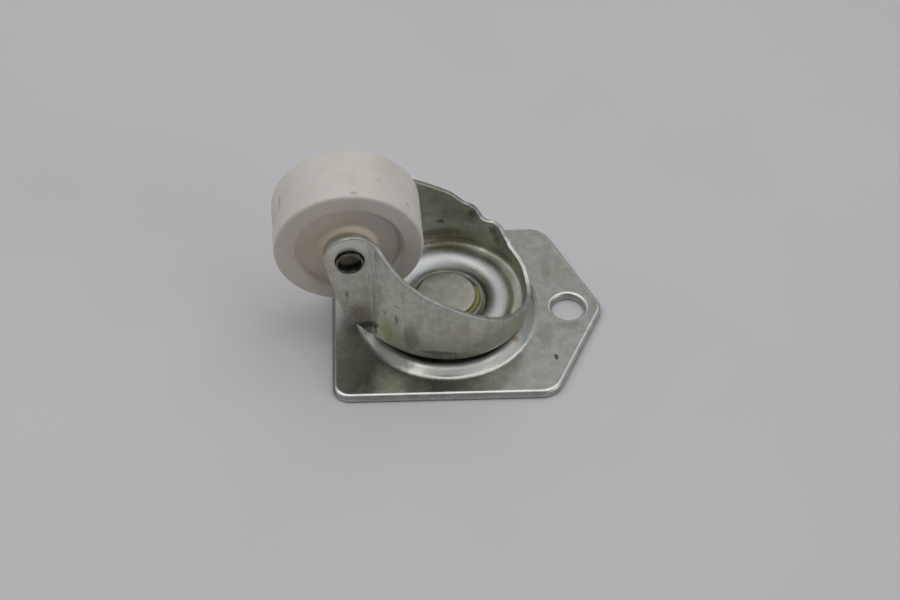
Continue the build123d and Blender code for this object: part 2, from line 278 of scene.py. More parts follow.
def about_axle(rows: Sequence[Pair]) -> list[Point]:
    """Places of a profile given by distance from the axle's line and distance along it."""
    return [(AXLE[0] + r, y, AXLE[2]) for r, y in rows]


def apply_modifier(piece: bpy.types.Object, kind: str, **settings: object) -> None:
    """Add a modifier and apply it.

    Args:
        piece: The piece it works on.
        kind: The modifier's type.
        settings: The modifier's own settings.
    """
    activate(piece)
    modifier = piece.modifiers.new(kind.lower(), kind)
    for name, value in settings.items():
        setattr(modifier, name, value)
    bpy.ops.object.modifier_apply(modifier=modifier.name)


def join(first: bpy.types.Object, *others: bpy.types.Object) -> bpy.types.Object:
    """Join objects into the first one.

    Args:
        first: The object that stays.
        others: The objects that go into it.

    Returns:
        The joined object.
    """
    activate(first, *others)
    bpy.ops.object.join()
    return first


def carve(piece: bpy.types.Object, tool: bpy.types.Object, operation: str) -> None:
    """Join, cut or meet a piece with a closed mesh by a boolean, and remove that mesh."""
    apply_modifier(piece, "BOOLEAN", object=tool, operation=operation, solver="EXACT")
    bpy.data.objects.remove(tool)


def smooth(piece: bpy.types.Object, degrees: float = 32.0) -> None:
    """Shade a piece smooth up to an angle, with flats kept flat.

    Args:
        piece: The piece to shade.
        degrees: Edges sharper than this stay sharp.
    """
    activate(piece)
    bpy.ops.object.shade_smooth_by_angle(angle=math.radians(degrees))
    apply_modifier(piece, "WEIGHTED_NORMAL", mode="FACE_AREA", weight=50, keep_sharp=True)


def wear(piece: bpy.types.Object, test: FaceTest) -> None:
    """Give some faces the piece's second finish.

    Args:
        piece: The piece.
        test: Says from a face's centre in millimetres and its normal whether it is worn.
    """
    while len(piece.data.materials) < 2:
        piece.data.materials.append(None)
    with editing(piece, Pick.FACES):
        choose_facing(piece, test)
        piece.active_material_index = 1
        bpy.ops.object.material_slot_assign()


def turn_with_fork(piece: bpy.types.Object) -> None:
    """Turn a piece of the fork from its own frame to its rest place.

    Args:
        piece: The piece, made with the wheel towards -X.
    """
    activate(piece)
    piece.rotation_mode = "XYZ"
    piece.rotation_euler = (0.0, 0.0, SWIVEL_TURN)
    bpy.ops.object.transform_apply(location=True, rotation=True, scale=True)


def arc(centre: Pair, radius: float, start: float, end: float, steps: int) -> list[Pair]:
    """Points on an arc in a plane, ends included, between two angles in degrees."""
    turns = [math.radians(start + (end - start) * i / steps) for i in range(steps + 1)]
    return [(centre[0] + radius * math.cos(t), centre[1] + radius * math.sin(t)) for t in turns]


def height_along(points: Sequence[Pair], x: float) -> float:
    """Height of a smooth curve through points, at a distance along it.

    Args:
        points: Pairs of distance and height, by rising distance.
        x: Where the height is asked for.

    Returns:
        The curve's height there.
    """
    if x <= points[0][0]:
        return points[0][1]
    if x >= points[-1][0]:
        return points[-1][1]
    at = max(i for i, p in enumerate(points) if p[0] <= x)
    at = min(at, len(points) - 2)
    (x0, z0), (x1, z1) = points[at], points[at + 1]
    before = points[max(at - 1, 0)]
    after = points[min(at + 2, len(points) - 1)]
    slope0 = (z1 - before[1]) / (x1 - before[0])
    slope1 = (after[1] - z0) / (after[0] - x0)
    span = x1 - x0
    t = (x - x0) / span
    a = (2 * t**3 - 3 * t**2 + 1) * z0 + (t**3 - 2 * t**2 + t) * span * slope0
    b = (-2 * t**3 + 3 * t**2) * z1 + (t**3 - t**2) * span * slope1
    return a + b


# ------------------------------------------------------------------------- finishes
def add_node(tree: bpy.types.NodeTree, kind: str, inputs: dict, **settings: object) -> bpy.types.Node:
    """Add a node with its settings, values and links.

    Args:
        tree: The node tree.
        kind: The node's type.
        inputs: For each input's name or number, a value or the socket it is linked to.
        settings: The node's own settings.

    Returns:
        The new node.
    """
    node = tree.nodes.new(kind)
    for name, value in settings.items():
        setattr(node, name, value)
    for key, value in inputs.items():
        if isinstance(value, bpy.types.NodeSocket):
            tree.links.new(value, node.inputs[key])
        else:
            node.inputs[key].default_value = value
    return node


@dataclass(frozen=True)
class Mark:
    """A stain or scuff at one place, or a soft zone that stands in for a reflection or a shade.

    Every mark is fixed to its piece. Fields are the middle and half-sizes in millimetres,
    the colour, its strength, how much it roughens the surface, and how ragged its border is.
    """

    middle: Point
    reach: Point
    tone: str
    strength: float
    roughen: float = 0.1
    ragged: float = 0.6


class Painter:
    """A material's node tree with the few patterns that the finishes share."""

    def __init__(self, name: str) -> None:
        """Start an empty material.

        Args:
            name: The material's name.
        """
        self.material = bpy.data.materials.new(name)
        self.material.use_nodes = True
        self.tree = self.material.node_tree
        self.tree.nodes.clear()
        place = add_node(self.tree, "ShaderNodeTexCoord", {})
        self.place = add_node(
            self.tree, "ShaderNodeMapping", {"Vector": place.outputs["Object"], "Scale": (1 / MM,) * 3}
        ).outputs[0]

    def node(self, kind: str, inputs: dict, **settings: object) -> bpy.types.Node:
        """Add a node to this material, as add_node does."""
        return add_node(self.tree, kind, inputs, **settings)

    def cloud(
        self, size: float, detail: float = 3.0, shift: Point = ORIGIN, stretch: Point = (1, 1, 1)
    ) -> Value:
        """Noise with features of one size.

        Args:
            size: Feature size in millimetres.
            detail: How many finer layers are added.
            shift: Moves the pattern, so that two clouds differ.
            stretch: Scales the pattern's axes.

        Returns:
            The noise's value socket.
        """
        moved = self.node("ShaderNodeMapping", {"Vector": self.place, "Location": shift, "Scale": stretch})
        noise = self.node(
            "ShaderNodeTexNoise",
            {"Vector": moved.outputs[0], "Scale": 1 / size, "Detail": detail, "Roughness": 0.55},
        )
        return noise.outputs["Fac"]

    def spread(self, value: Value, low: float, high: float, start: float, end: float) -> Value:
        """Map a value from one range to another, smoothly and clamped.

        Args:
            value: The socket to map.
            low: Where the input range starts.
            high: Where it ends.
            start: What the low end becomes.
            end: What the high end becomes.

        Returns:
            The mapped socket.
        """
        inputs = {"Value": value, "From Min": low, "From Max": high, "To Min": start, "To Max": end}
        mapped = self.node("ShaderNodeMapRange", inputs, interpolation_type="SMOOTHSTEP")
        return mapped.outputs["Result"]

    def math(self, operation: str, first: Value, second: Value) -> Value:
        """One arithmetic step on two values or sockets."""
        return self.node("ShaderNodeMath", {0: first, 1: second}, operation=operation).outputs[0]

    def blend(self, share: Value, under: Paint, over: Paint) -> Paint:
        """Mix a share of the second colour into the first."""
        mixed = self.node("ShaderNodeMix", {0: share, 6: under, 7: over}, data_type="RGBA")
        return mixed.outputs[2]

    def mark(self, spot: Mark, grit: Value) -> Value:
        """The cover of one mark.

        Args:
            spot: The mark.
            grit: A noise socket that makes its border ragged.

        Returns:
            A socket from 0, outside, to the mark's strength.
        """
        away = self.node("ShaderNodeVectorMath", {0: self.place, 1: spot.middle}, operation="SUBTRACT")
        scaled = self.node("ShaderNodeVectorMath", {0: away.outputs[0], 1: spot.reach}, operation="DIVIDE")
        far = self.node("ShaderNodeVectorMath", {0: scaled.outputs[0]}, operation="LENGTH")
        uneven = self.math("MULTIPLY_ADD", grit, 2 * spot.ragged)
        uneven.node.inputs[2].default_value = -spot.ragged
        worn = self.math("ADD", far.outputs["Value"], uneven)
        return self.spread(worn, 0.45, 1.0, spot.strength, 0.0)

    def add_marks(
        self, marks: tuple[Mark, ...], grit: Value, colour: Paint, rough: Value
    ) -> tuple[Paint, Value]:
        """Lay marks over a finish, one after another.

        Args:
            marks: The marks.
            grit: A noise socket that makes their borders ragged.
            colour: The finish's colour so far.
            rough: Its roughness so far.

        Returns:
            The colour and the roughness with the marks on them.
        """
        for spot in marks:
            cover = self.mark(spot, grit)
            colour = self.blend(cover, colour, linear(spot.tone))
            rough = self.math("ADD", rough, self.math("MULTIPLY", cover, spot.roughen))
        return colour, rough

    def bump(self, height: Value, depth: float, below: Value | None = None) -> Value:
        """Relief from a height pattern.

        Args:
            height: The height socket, 0 to 1.
            depth: Its full depth in millimetres.
            below: A normal socket it is added to.

        Returns:
            The normal's socket.
        """
        inputs = {"Height": height, "Distance": depth * MM, "Strength": 1.0}
        if below is not None:
            inputs["Normal"] = below
        return self.node("ShaderNodeBump", inputs).outputs[0]

    def finish(self, **sockets: object) -> bpy.types.Material:
        """Close the tree with a principled shader.

        Args:
            sockets: Its inputs, with underscores for spaces.

        Returns:
            The finished material.
        """
        inputs = {name.replace("_", " "): value for name, value in sockets.items()}
        shader = self.node("ShaderNodeBsdfPrincipled", inputs)
        self.node("ShaderNodeOutputMaterial", {"Surface": shader.outputs[0]})
        return self.material


@dataclass(frozen=True)
class ZincPlating:
    """Dull electro-zinc on pressed mild steel: pale grey, softly mottled, blurred reflections.

    The sheet's rolled surface waves a little, so reflections wander, and handling leaves
    faint brown and green-grey clouds. Where the press has stretched it there are fine
    upright lines.
    """

    name: str
    light: str = "#C1C4BE"
    dark: str = "#B2B4AC"
    tint: str = "#A9A794"
    tint_share: float = 0.35
    roughness: float = 0.27
    wave: float = 0.012
    grain: float = 0.002
    specks: float = 0.25
    streak: float = 0.0
    drawn: Mark | None = None
    marks: tuple[Mark, ...] = ()

    def make(self) -> bpy.types.Material:
        """Build the material.

        Returns:
            The material.
        """
        p = Painter(self.name)
        # zinc crystals and wiping marks, 2 mm; clouds of handling, 9 mm; specks of dirt, 0.5 mm
        mottle = p.cloud(2.2, 3.0)
        clouds = p.cloud(9.0, 3.0, (31, 7, 3))
        colour = p.blend(p.spread(mottle, 0.35, 0.65, 0, 1), linear(self.dark), linear(self.light))
        stained = p.spread(clouds, 0.45, 0.72, 0, self.tint_share)
        colour = p.blend(stained, colour, linear(self.tint))
        specks = p.spread(p.cloud(0.55, 2.0, (11, 4, 6)), 0.66, 0.76, 0, self.specks)
        colour = p.blend(specks, colour, linear("#5E5A4E"))
        if self.streak:
            upright = p.cloud(0.7, 3.0, (7, 5, 1), (1, 1, 0.07))
            colour = p.blend(p.spread(upright, 0.46, 0.7, 0, self.streak), colour, linear("#8A7C66"))
        rough = p.spread(mottle, 0.3, 0.7, self.roughness - 0.015, self.roughness + 0.02)
        rough = p.math("ADD", rough, p.math("MULTIPLY", stained, 0.15))
        grit = p.cloud(0.9, 4.0, (3, 17, 9))
        colour, rough = p.add_marks(self.marks, grit, colour, rough)
        relief = p.bump(p.cloud(6.0, 1.0, (5, 2, 8)), self.wave)
        relief = p.bump(p.cloud(0.25, 2.0), self.grain, relief)
        if self.drawn:
            where = p.mark(self.drawn, grit)
            lines = p.cloud(0.3, 3.0, ORIGIN, (1, 1, 0.04))
            cut = p.math("MULTIPLY", where, lines)
            relief = p.bump(cut, 0.022, relief)
            shade = p.math("MULTIPLY", where, p.spread(lines, 0.45, 0.66, 0, 0.65))
            colour = p.blend(shade, colour, linear(self.drawn.tone))
        return p.finish(Base_Color=colour, Metallic=1.0, Roughness=rough, Normal=relief)


@dataclass(frozen=True)
class MouldedNylon:
    """Injection-moulded white polyamide: warm, satin, slightly see-through at its edges."""

    name: str
    light: str = "#DDD8D2"
    dark: str = "#D6D1C9"
    roughness: float = 0.48
    specks: float = 0.35
    marks: tuple[Mark, ...] = ()

    def make(self) -> bpy.types.Material:
        """Build the material.

        Returns:
            The material.
        """
        p = Painter(self.name)
        # hand grime in soft clouds of 5 mm, mould texture of 0.3 mm
        grime = p.cloud(5.0, 4.0)
        colour = p.blend(p.spread(grime, 0.4, 0.7, 0, 1), linear(self.light), linear(self.dark))
        rough = p.spread(grime, 0.3, 0.7, self.roughness - 0.05, self.roughness + 0.08)
        specks = p.spread(p.cloud(0.8, 3.0, (11, 4, 6)), 0.68, 0.78, 0, self.specks)
        colour = p.blend(specks, colour, linear("#8A7F70"))
        grit = p.cloud(0.6, 4.0, (8, 1, 5))
        colour, rough = p.add_marks(self.marks, grit, colour, rough)
        soft = p.bump(p.cloud(3.0, 2.0, (2, 4, 6)), 0.03)
        fine = p.bump(p.cloud(0.3, 2.0), 0.004, soft)
        return p.finish(
            Base_Color=colour,
            Roughness=rough,
            IOR=1.53,
            Subsurface_Weight=0.3,
            Subsurface_Radius=(1.0, 0.8, 0.6),
            Subsurface_Scale=2.0 * MM,
            Normal=fine,
        )


@dataclass(frozen=True)
class BearingGrease:
    """Yellow-green lithium grease squeezed out of the swivel."""

    name: str
    tone: str = "#98954A"
    deep: str = "#716D37"

    def make(self) -> bpy.types.Material:
        """Build the material.

        Returns:
            The material.
        """
        p = Painter(self.name)
        lumps = p.cloud(0.8, 3.0)
        colour = p.blend(p.spread(lumps, 0.4, 0.6, 0, 0.5), linear(self.tone), linear(self.deep))
        relief = p.bump(lumps, 0.1)
        return p.finish(Base_Color=colour, Roughness=0.28, IOR=1.47, Normal=relief)


@dataclass(frozen=True)
class Tabletop:
    """Matt pale laminate that the castor lies on."""

    name: str
    tone: str = "#D4D2D5"

    def make(self) -> bpy.types.Material:
        """Build the material.

        Returns:
            The material.
        """
        p = Painter(self.name)
        haze = p.cloud(60.0, 2.0)
        colour = p.blend(p.spread(haze, 0.3, 0.7, 0, 1), linear(self.tone), linear("#D1D0D2"))
        return p.finish(Base_Color=colour, Roughness=0.55)


def dress(piece: bpy.types.Object, *materials: bpy.types.Material) -> None:
    """Give a piece its finishes.

    Args:
        piece: The piece.
        materials: The finish of its skin, then that of its sheared edges where it has any.
    """
    slots = piece.data.materials
    while len(slots) < len(materials):
        slots.append(None)
    for index, material in enumerate(materials):
        slots[index] = material


# --------------------------------------------------------------------------- pieces
@dataclass
class MountingPlate:
    """Pressed plate with a pointed end, one fixing hole and the raised race dome."""

    thickness: float = 2.0
    half_width: float = 23.6
    rear: float = 24.6
    shoulder: float = 22.35
    tip_angle: float = 63.9
    corner_r: float = 3.6
    shoulder_r: float = 5.0
    tip_r: float = 3.6
    corner_cuts: int = 10
    edge_r: float = 0.8
    burr_r: float = 0.25
    fixing_from_tip: float = 7.6
    fixing_r: float = 3.6
    fixing_lip: float = 0.7
    dome_r: float = 19.4
    dome_shoulder_r: float = 17.3
    dome_shoulder_z: float = 3.35
    dome_top_r: float = 16.4
    dome_h: float = 1.5
    foot_ledge: float = 0.6
    foot_blend: float = 0.9
    shoulder_blend: float = 0.8
    under_wall: float = 1.1
    shank_r: float = 4.02
    pitch_r: float = 11.6
    track_r: float = 2.3
    track_z: float = 4.54
    sheared_beyond: float = 20.1

    def tip_x(self) -> float:
        """Where the two sloping edges meet."""
        return self.shoulder + self.half_width / math.tan(math.radians(self.tip_angle))

    def slab(self) -> bpy.types.Object:
        """The plate's outline with its rounded rim, open above and below.

        Returns:
            The rim.
        """
        w, t = self.half_width, self.thickness
        ends = [(-self.rear, -w, 0), (-self.rear, w, 0)]
        sides = [(self.shoulder, -w, 0), (self.shoulder, w, 0)]
        tip = (self.tip_x(), 0, 0)
        slab = draw_line("mounting_plate_dressed", [ends[0], sides[0], tip, sides[1], ends[1], ends[0]])
        tidy_shell(slab)
        half = math.radians(self.tip_angle) / 2
        round_corners(slab, ends, self.corner_r, self.corner_cuts)
        round_corners(slab, sides, self.shoulder_r * math.tan(half), self.corner_cuts)
        round_corners(slab, [tip], self.tip_r * math.tan(math.pi / 2 - 2 * half), self.corner_cuts)
        with editing(slab):
            bpy.ops.mesh.edge_face_add()
            extrude(0, 0, t)
            if not choose_facing(slab, lambda c, n: abs(c.z) < TINY):
                choose(slab, at_height(0), Pick.EDGES)
                bpy.ops.mesh.edge_face_add()
            bpy.ops.mesh.select_all(action="SELECT")
            bpy.ops.mesh.normals_make_consistent(inside=False)
            for level, reach, cuts in ((t, self.edge_r, 5), (0, self.burr_r, 2)):
                choose(slab, at_height(level), Pick.EDGES)
                bpy.ops.mesh.bevel(offset=reach * MM, segments=cuts, affect="EDGES")
            choose_facing(slab, lambda c, n: abs(n.z) > LEVEL and min(abs(c.z), abs(c.z - t)) < TINY)
            bpy.ops.mesh.delete(type="ONLY_FACE")
        return slab

    def dome(self) -> bpy.types.Object:
        """The race dome with its ball track, the hole for the king pin and the recess below.

        Returns:
            The dome's shell, open at its upper and lower foot.
        """
        top = self.thickness + self.dome_h
        under = self.dome_h
        half = math.degrees(math.acos((self.track_z - top) / self.track_r))
        track = arc((self.pitch_r, self.track_z), self.track_r, -90 + half, -90 - half, 10)
        back_r = self.track_r + self.thickness
        half = math.degrees(math.acos((self.track_z - under) / back_r))
        groove = arc((self.pitch_r, self.track_z), back_r, -90 - half, -90 + half, 10)
        rows = [(self.dome_r + self.foot_ledge, self.thickness), (self.dome_r, self.thickness)]
        rows += [(self.dome_shoulder_r, self.dome_shoulder_z), (self.dome_top_r, top)]
        rows += track + [(self.shank_r, top), (self.shank_r, under)] + groove
        rows += [(self.dome_shoulder_r - self.under_wall, under), (self.dome_r - self.under_wall, 0)]
        points = [(r, 0, z) for r, z in rows]
        rounds = [(points[1:2], self.foot_blend, 3), (points[2:3], self.shoulder_blend, 6)]
        return lathe("dome", points, rounds, 160)

    def fixing_hole(self) -> bpy.types.Object:
        """The fixing hole's wall with its softly pressed lip.

        Returns:
            The wall, open above and below.
        """
        x = self.tip_x() - self.fixing_from_tip
        lip = self.fixing_lip
        rows = arc((self.fixing_r + lip, self.thickness - lip), lip, 90, 180, 4) + [(self.fixing_r, 0)]
        return lathe("fixing_hole", [(x + r, 0, z) for r, z in rows], [], 64, (x, 0, 0))

    def build(self) -> bpy.types.Object:
        """Model the plate.

        Returns:
            The finished piece.
        """
        plate = join(self.slab(), self.dome(), self.fixing_hole())
        for level in (self.thickness, 0.0):
            fill_level(plate, level)
        tidy_shell(plate)
        wear(plate, lambda c, n: abs(n.z) < 0.99 and c.xy.length > self.sheared_beyond)
        smooth(plate, 28)
        return plate


@dataclass
class KingPin:
    """Peened pin that holds plate and fork together."""

    head_r: float = 6.3
    head_low: float = 5.8
    head_high: float = 7.15
    dish: float = 0.12
    shank_r: float = 4.0
    tail_r: float = 6.2
    tail_low: float = 0.3
    tail_high: float = 1.5
    corner_r: float = 0.35
    head_edge_r: float = 0.4
    rim_in: float = 0.9
    rim_rise: float = 0.02
    dish_in: float = 1.5
    dish_fall: float = 0.04

    def build(self) -> bpy.types.Object:
        """Model the pin.

        Returns:
            The finished piece.
        """
        high = self.head_high
        points = [
            (0, 0, self.tail_low),
            (self.tail_r, 0, self.tail_low),
            (self.tail_r, 0, self.tail_high),
            (self.shank_r, 0, self.tail_high),
            (self.shank_r, 0, self.head_low),
            (self.head_r, 0, self.head_low),
            (self.head_r, 0, high),
            (self.head_r - self.rim_in, 0, high + self.rim_rise),
            (self.head_r - self.dish_in, 0, high + self.dish - self.dish_fall),
            (0, 0, high + self.dish),
        ]
        rounds = [([points[1], points[2], points[5]], self.corner_r, 4), ([points[6]], self.head_edge_r, 6)]
        pin = lathe("king_pin_dressed", points, rounds, 96)
        smooth(pin)
        return pin


@dataclass
class CupWasher:
    """Thin washer with a raised rim round the pin's head."""

    bore_r: float = 4.02
    floor_low: float = 5.03
    floor_high: float = 5.8
    outer_r: float = 8.05
    rim_t: float = 1.0
    rim_top: float = 6.35
    foot_slope: float = 0.7
    inner_slope: float = 0.3
    rim_r: float = 0.38
    fold_r: float = 0.3

    def build(self) -> bpy.types.Object:
        """Model the washer.

        Returns:
            The finished piece.
        """
        inner = self.outer_r - self.rim_t
        points = [
            (self.bore_r, 0, self.floor_low),
            (self.outer_r - self.foot_slope, 0, self.floor_low),
            (self.outer_r, 0, self.floor_low + self.foot_slope),
            (self.outer_r, 0, self.rim_top),
            (inner, 0, self.rim_top),
            (inner - self.inner_slope, 0, self.floor_high),
            (self.bore_r, 0, self.floor_high),
            (self.bore_r, 0, self.floor_low),
        ]
        rounds = [(points[3:5], self.rim_r, 5), (points[1:3], self.fold_r, 4)]
        washer = lathe("cup_washer_dressed", points, rounds, 96)
        smooth(washer)
        return washer


@dataclass
class GreaseBead:
    """Grease squeezed up between the pin's head and the washer's rim."""

    middle_r: float = 6.7
    thick_r: float = 0.42
    middle_z: float = 6.3
    start: float = -62.0
    sweep: float = 86.0
    sides: int = 12
    stations: int = 30
    end_share: float = 0.25
    taper_reach: float = 3.0

    def on_ring(self, degrees: float) -> Vector:
        """A place on the bead's middle line, in millimetres, by its direction in plan."""
        turn = math.radians(degrees)
        return Vector((math.cos(turn) * self.middle_r, math.sin(turn) * self.middle_r, self.middle_z))

    def build(self) -> bpy.types.Object:
        """Model the bead as a bent, tapering rope.

        Returns:
            The finished piece.
        """
        deselect()
        bpy.ops.mesh.primitive_circle_add(
            vertices=self.sides,
            radius=self.thick_r * MM,
            fill_type="NGON",
            location=self.on_ring(self.start) * MM,
            rotation=(math.pi / 2, 0, math.radians(self.start)),
        )
        bead = bpy.context.object
        bead.name = "grease_bead"
        bpy.ops.object.transform_apply(location=True, rotation=True, scale=True)
        sweep = -math.radians(self.sweep)
        with editing(bead):
            bpy.ops.mesh.spin(steps=self.stations, angle=sweep, center=ORIGIN, axis=UPWARDS)
            for end in (self.start, self.start + self.sweep):
                tip = self.on_ring(end)
                choose(bead, lambda p: (p - tip).length < self.thick_r + TINY)
                bpy.ops.transform.resize(
                    value=(self.end_share,) * 3,
                    center_override=tip * MM,
                    use_proportional_edit=True,
                    proportional_edit_falloff="SMOOTH",
                    proportional_size=self.taper_reach * MM,
                )
        tidy_shell(bead)
        smooth(bead, 60)
        return bead


@dataclass
class Wheel:
    """Moulded wheel with a shallow recess and a hub ring on both faces."""

    tread_r: float = 15.29
    half_width: float = 6.75
    edge_r: float = 0.7
    recess_r: float = 11.3
    recess_draft: float = 0.55
    recess_depth: float = 1.05
    hub_base_r: float = 6.0
    hub_end_r: float = 5.5
    hub_half: float = 7.0
    bore_r: float = 2.58
    lip_r: float = 0.32
    corner_r: float = 0.4

    def build(self) -> bpy.types.Object:
        """Model the wheel.

        Returns:
            The finished piece.
        """
        web = self.half_width - self.recess_depth
        side = [
            (self.bore_r, self.hub_half),
            (self.hub_end_r, self.hub_half),
            (self.hub_base_r, web),
            (self.recess_r - self.recess_draft, web),
            (self.recess_r, self.half_width),
            (self.tread_r, self.half_width),
        ]
        rows = [(r, -y) for r, y in side] + side[::-1] + [(side[0][0], -side[0][1])]
        on = about_axle([(r, sign * y) for sign in (-1, 1) for r, y in side])
        rounds = [
            ([on[5], on[11]], self.edge_r, 6),
            ([on[1], on[7], on[4], on[10]], self.lip_r, 4),
            ([on[2], on[3], on[8], on[9]], self.corner_r, 4),
        ]
        wheel = lathe("wheel_dressed", about_axle(rows), rounds, 160, AXLE, ACROSS)
        smooth(wheel, 40)
        turn_with_fork(wheel)
        return wheel


@dataclass
class SwivelFork:
    """Pressed cup with a raceway in its floor and two ears that carry the wheel.

    The rim is given on each side by pairs of distance ahead of the swivel axis and height
    over the table; the lower edge runs from the ear's back to the cup's floor. A dent is given
    by its direction in plan in degrees, its height, its reach and how far it goes outwards.
    """

    sheet: float = 1.1
    cup_x: float = 0.5
    front_r: float = 16.5
    side_r: float = 20.6
    side_drop: float = 4.1
    bend_r: float = 4.3
    bend_x: float = -17.45
    ear_y: float = 8.86
    floor_z: float = 5.8
    floor_rear: float = -15.2
    fold_r: float = 1.4
    edge_r: float = 0.26
    ear_x: float = -19.8
    ear_z: float = 30.25
    ear_r: float = 6.25
    race_r: float = 15.0
    pitch_r: float = 11.6
    rib_r: float = 3.3
    rib_z: float = 4.0
    rib_blend: float = 0.32
    hub_z: float = 5.0
    hole_r: float = 4.08
    dimple_r: float = 3.0
    dimple_depth: float = 1.0
    dimple_wall: float = 0.9
    axle_hole_r: float = 2.53
    boss_bite: float = 0.3
    tool_past: float = 1.0
    tool_deep: float = 3.0
    mouth_flare: float = 0.15
    mouth_rise: float = 0.1
    lip_in: float = 0.05
    lip_fall: float = 0.2
    dimple_draft: float = 0.25
    first_rise: float = 3.0
    rows: int = 12
    top_row: float = 0.35
    dent_core: float = 0.75
    ear_front: tuple[float, ...] = (-18.6, -19.4)
    ear_turns: tuple[float, ...] = (88, 78, 68, 57, 45, 32, 20, 8)
    ear_corner: tuple[float, ...] = (-21.35, -21.7, -21.95)
    near_rim: tuple[Pair, ...] = (
        (-19.8, 36.5), (-18.2, 36.3), (-16.4, 35.2), (-14.5, 33.4), (-12.7, 30.8), (-10.8, 28.4),
        (-7.0, 25.5), (1.0, 20.9), (7.0, 16.6), (10.4, 14.0), (14.3, 11.4), (17.0, 8.3),
    )
    far_rim: tuple[Pair, ...] = (
        (-19.8, 36.5), (-18.2, 36.3), (-16.4, 35.2), (-14.5, 33.4), (-12.7, 30.8), (-10.8, 28.5),
        (-6.0, 26.0), (-1.0, 22.5), (2.5, 20.2), (4.5, 18.4), (6.7, 17.5), (7.7, 15.4), (8.4, 14.6),
        (10.7, 14.4), (12.0, 13.2), (12.8, 11.7), (14.2, 11.0), (15.4, 10.0), (16.5, 9.4), (17.0, 8.3),
    )
    lower_edge: tuple[Pair, ...] = (
        (-25.99, 29.38), (-25.87, 28.7), (-21.95, 11.9), (-21.7, 11.0), (-21.35, 10.5), (-20.9, 10.35),
        (-19.4, 9.9), (-17.2, 7.25), (-15.2, 7.2),
    )
    dents: tuple[tuple[float, float, float, float], ...] = (
        (66.5, 15.4, 2.4, 0.55), (72.0, 16.9, 2.2, -0.3), (49.0, 13.0, 2.0, 0.55), (56.0, 13.4, 2.2, -0.25),
        (40.5, 11.6, 1.8, 0.45), (31.0, 10.8, 1.8, -0.2),
    )

    def cup_path(self) -> list[Pair]:
        """Plan of the cup's inner wall, from its far rear end round the front to the near one.

        Returns:
            Points in plan.
        """
        reach = math.sqrt(self.side_r**2 - (self.cup_x - self.floor_rear) ** 2)
        start = math.degrees(math.atan2(reach, self.floor_rear - self.cup_x))
        far = arc((self.cup_x, -self.side_drop), self.side_r, start, 90, 24)
        front = arc((self.cup_x, 0), self.front_r, 90, -90, 76)
        near = [(x, -y) for x, y in reversed(far)]
        return far + front[1:-1] + near

    def ear_path(self) -> list[Pair]:
        """Plan of the far ear's inner face, from the cup's rear end backwards.

        Returns:
            Points in plan.
        """
        centre = (self.bend_x, self.ear_y + self.bend_r)
        toward = math.degrees(math.atan2(-self.side_drop - centre[1], self.cup_x - centre[0]))
        on_side = centre[0] + self.bend_r * math.cos(math.radians(toward))
        reach = math.sqrt(self.side_r**2 - (self.cup_x - on_side) ** 2)
        start = math.degrees(math.atan2(reach, self.floor_rear - self.cup_x))
        bend = arc(centre, self.bend_r, toward, -90, 9)
        path = [p for p in bend if p[0] < self.floor_rear - 0.1]
        path += [(x, self.ear_y) for x in self.ear_front]
        turns = [math.radians(a) for a in self.ear_turns]
        path += [(self.ear_x - self.ear_r * math.cos(t), self.ear_y) for t in turns]
        path += [(x, self.ear_y) for x in self.ear_corner]
        return sorted(path, key=lambda p: -p[0])

    def rim_height(self, x: float, y: float) -> float:
        """Height of the rim at a place in plan.

        Args:
            x: Distance ahead of the swivel axis.
            y: Which side it is on.

        Returns:
            Height over the table.
        """
        if x < self.ear_x:
            return self.ear_z + math.sqrt(max(self.ear_r**2 - (x - self.ear_x) ** 2, 0.0))
        return height_along(self.far_rim if y > 0 else self.near_rim, x)

    def sheet_of_cup(self) -> bpy.types.Object:
        """The cup's floor and wall as one open skin, folded along the wall's foot.

        Returns:
            The skin, with the wall still level at its top.
        """
        skin = draw_line("fork_dressed", [(x, y, self.floor_z) for x, y in self.cup_path()])
        on_floor = at_height(self.floor_z)
        ahead = self.floor_rear + TINY
        with editing(skin, Pick.EDGES):
            extrude(0, 0, self.first_rise)
            choose(skin, on_floor)
            bpy.ops.mesh.edge_face_add()
            bpy.ops.mesh.select_all(action="SELECT")
            bpy.ops.mesh.normals_make_consistent(inside=False)
            select_parts(
                skin,
                Pick.EDGES,
                lambda e: all(map(on_floor, corners(e))) and any(p.x >= ahead for p in corners(e)),
            )
            bpy.ops.mesh.bevel(offset=self.fold_r * MM, segments=6, affect="EDGES", clamp_overlap=False)
            choose_facing(skin, lambda c, n: abs(n.z) > LEVEL)
            bpy.ops.mesh.delete(type="ONLY_FACE")
            choose(skin, at_height(self.floor_z + self.first_rise), Pick.EDGES)
            for _ in range(self.rows):
                extrude(0, 0, 1)
        return skin

    def in_column(self, place: Pair) -> Test:
        """A test for the upright row of the wall that stands at a place in plan."""
        spot, foot = Vector(place), self.floor_z + self.fold_r
        return lambda p: (p.xy - spot).length < TINY and p.z > foot - TINY

    def set_column(self, skin: bpy.types.Object, place: Pair, low: float, high: float) -> None:
        """Stretch one upright row of vertices between two heights.

        Args:
            skin: The skin, in edit mode.
            place: Where the row stands in plan.
            low: Height of its lowest vertex.
            high: Height of its highest vertex.
        """
        foot = self.floor_z + self.fold_r
        choose(skin, self.in_column(place))
        start = Vector((0, 0, foot)) * MM
        scale = (high - low) / (self.first_rise - self.fold_r + self.rows)
        bpy.ops.transform.resize(value=(1, 1, scale), center_override=start)
        bpy.ops.transform.translate(value=(0, 0, (low - foot) * MM))

